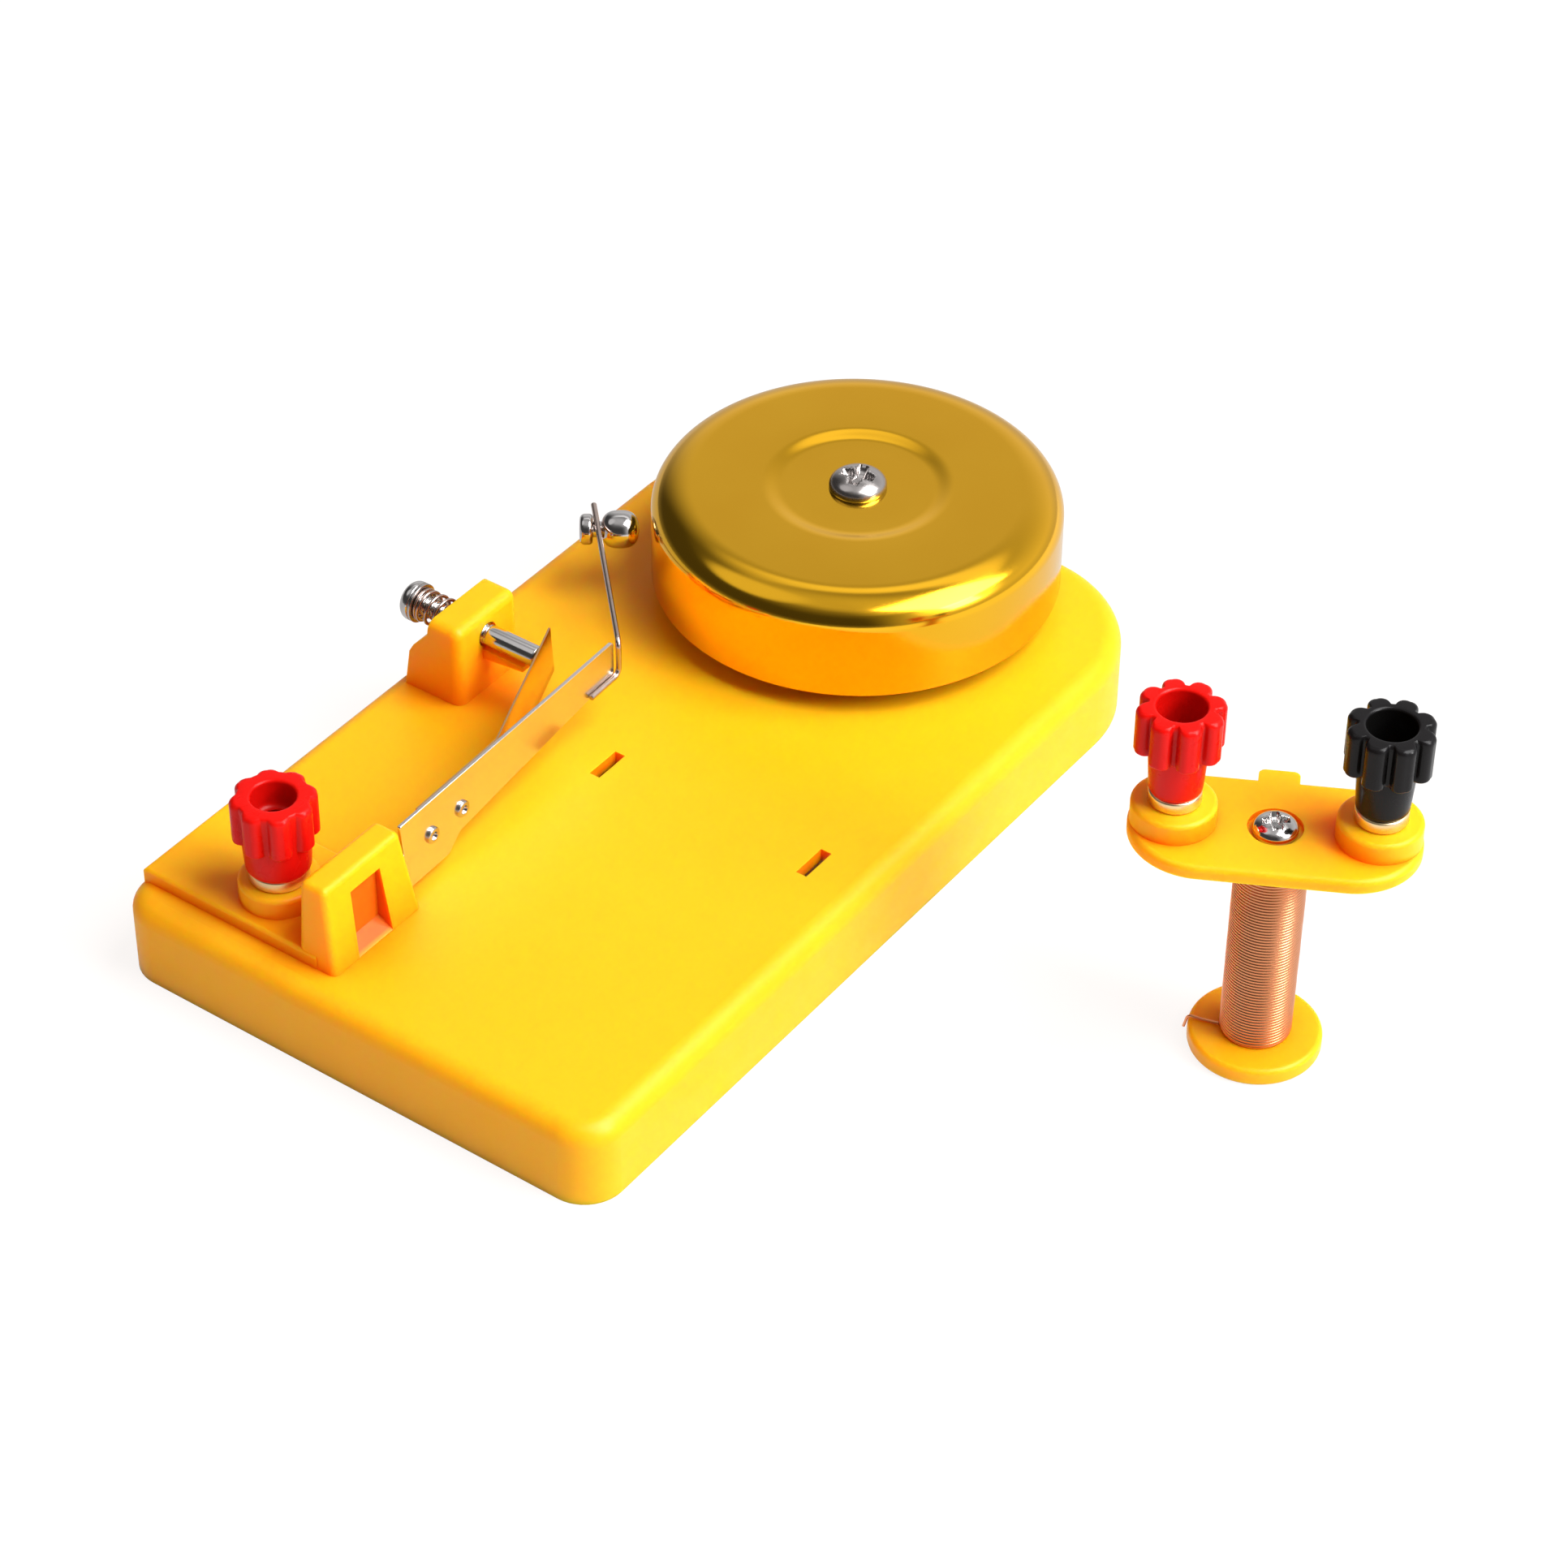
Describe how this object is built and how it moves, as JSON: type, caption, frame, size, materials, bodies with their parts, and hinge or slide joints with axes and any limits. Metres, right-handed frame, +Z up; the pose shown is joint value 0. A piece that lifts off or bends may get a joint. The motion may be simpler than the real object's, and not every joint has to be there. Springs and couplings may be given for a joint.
{
  "type": "electric bell demonstrator",
  "caption": "Teaching model of an electric bell: moulded base with gong, spring armature with hammer, contact screw, binding post, and a lift-off electromagnet with its own posts.",
  "frame": {"origin": "centre of the base's footprint, on the surface that the base and the electromagnet stand on", "axes": "+X along the base towards the gong, +Y across it towards the contact screw, +Z up"},
  "size_m": [0.138, 0.1453, 0.0535],
  "materials": {
    "yellow_plastic": "glossy moulded plastic",
    "gong_gold": "gold lacquered pressed steel",
    "bright_chrome": "bright plating",
    "bright_steel": "zinc plated",
    "spring_steel": "polished spring strip",
    "wire_steel": "drawn wire",
    "bronze_leaf": "polished bronze strip",
    "plain_brass": "turned brass",
    "pale_collar": "turned pale brass",
    "copper_winding": "enamelled copper wire",
    "soft_iron": "turned iron",
    "fibre": "pressed fibre",
    "red_plastic": "glossy moulded plastic",
    "black_plastic": "glossy moulded plastic"
  },
  "bodies": {
    "base": {"base_shell": "yellow_plastic", "gong": "gong_gold", "gong_pillar": "plain_brass", "gong_washer": "fibre", "gong_screw": "bright_steel", "pillar_screw_washer": "bright_steel", "pillar_screw": "bright_steel", "screw_insert": "plain_brass", "screw_spring": "wire_steel", "link_wire": "copper_winding", "base_post_stud": "plain_brass", "base_post_collar": "pale_collar", "base_post_nut": "bright_steel", "base_post_tag": "bright_steel"},
    "armature": {"armature_blade": "spring_steel", "armature_rivets": "bright_steel", "contact_spring": "bronze_leaf", "hammer_wire": "wire_steel", "hammer": "bright_chrome"},
    "contact_screw_washer": {"screw_washer": "bright_steel"},
    "contact_screw": {"contact_screw": "bright_chrome"},
    "magnet": {"bobbin": "yellow_plastic", "coil": "copper_winding", "coil_leads": "copper_winding", "iron_core": "soft_iron", "core_screw": "bright_chrome", "red_post_stud": "plain_brass", "red_post_collar": "pale_collar", "red_post_nut": "bright_steel", "red_post_tag": "bright_steel", "black_post_stud": "plain_brass", "black_post_collar": "pale_collar", "black_post_nut": "bright_steel", "black_post_tag": "bright_steel"},
    "base_cap_bush": {"base_post_insert": "plain_brass"},
    "base_cap": {"base_post_cap": "red_plastic"},
    "red_cap_bush": {"red_post_insert": "plain_brass"},
    "red_cap": {"red_post_cap": "red_plastic"},
    "black_cap_bush": {"black_post_insert": "plain_brass"},
    "black_cap": {"black_post_cap": "black_plastic"}
  },
  "joints": [
    {"name": "armature_swing", "type": "hinge", "parent": "base", "child": "armature", "pos_m": [-0.0453, 0.0078, 0.0194], "axis": [0, 0, -1], "range_deg": [0, 1.15], "stiffness_Nm_per_rad": 0.08, "springref_deg": -1.72},
    {"name": "contact_screw_travel", "type": "slide", "parent": "base", "child": "contact_screw_washer", "axis": [0, 1, 0], "range_m": [0, 0.004], "deforming": ["screw_spring"]},
    {"name": "contact_screw_turn", "type": "hinge", "parent": "contact_screw_washer", "child": "contact_screw", "pos_m": [-0.004, 0.0384, 0.0208], "axis": [0, 1, 0], "range_deg": [0, 2881]},
    {"name": "magnet_lift", "type": "slide", "parent": "base", "child": "magnet", "axis": [0, 0, 1], "range_m": [0, 0.06]},
    {"name": "base_cap_lift", "type": "slide", "parent": "base", "child": "base_cap_bush", "axis": [0, 0, 1], "range_m": [0, 0.0035]},
    {"name": "base_cap_turn", "type": "hinge", "parent": "base_cap_bush", "child": "base_cap", "pos_m": [-0.0547, 0.0202, 0.0219], "axis": [0, 0, 1], "range_deg": [0, 1801]},
    {"name": "red_cap_lift", "type": "slide", "parent": "magnet", "child": "red_cap_bush", "axis": [0, 0, 1], "range_m": [0, 0.0035]},
    {"name": "red_cap_turn", "type": "hinge", "parent": "red_cap_bush", "child": "red_cap", "pos_m": [0.00263, -0.07611, 0.0436], "axis": [0, 0, 1], "range_deg": [0, 1801]},
    {"name": "black_cap_lift", "type": "slide", "parent": "magnet", "child": "black_cap_bush", "axis": [0, 0, 1], "range_m": [0, 0.0035]},
    {"name": "black_cap_turn", "type": "hinge", "parent": "black_cap_bush", "child": "black_cap", "pos_m": [0.01446, -0.09835, 0.0436], "axis": [0, 0, 1], "range_deg": [0, 1801]}
  ],
  "couplings": [
    {"joint": "contact_screw_turn", "follows": "contact_screw_travel", "rad_per_m": 12566},
    {"joint": "base_cap_turn", "follows": "base_cap_lift", "rad_per_m": 8976},
    {"joint": "red_cap_turn", "follows": "red_cap_lift", "rad_per_m": 8976},
    {"joint": "black_cap_turn", "follows": "black_cap_lift", "rad_per_m": 8976}
  ]
}
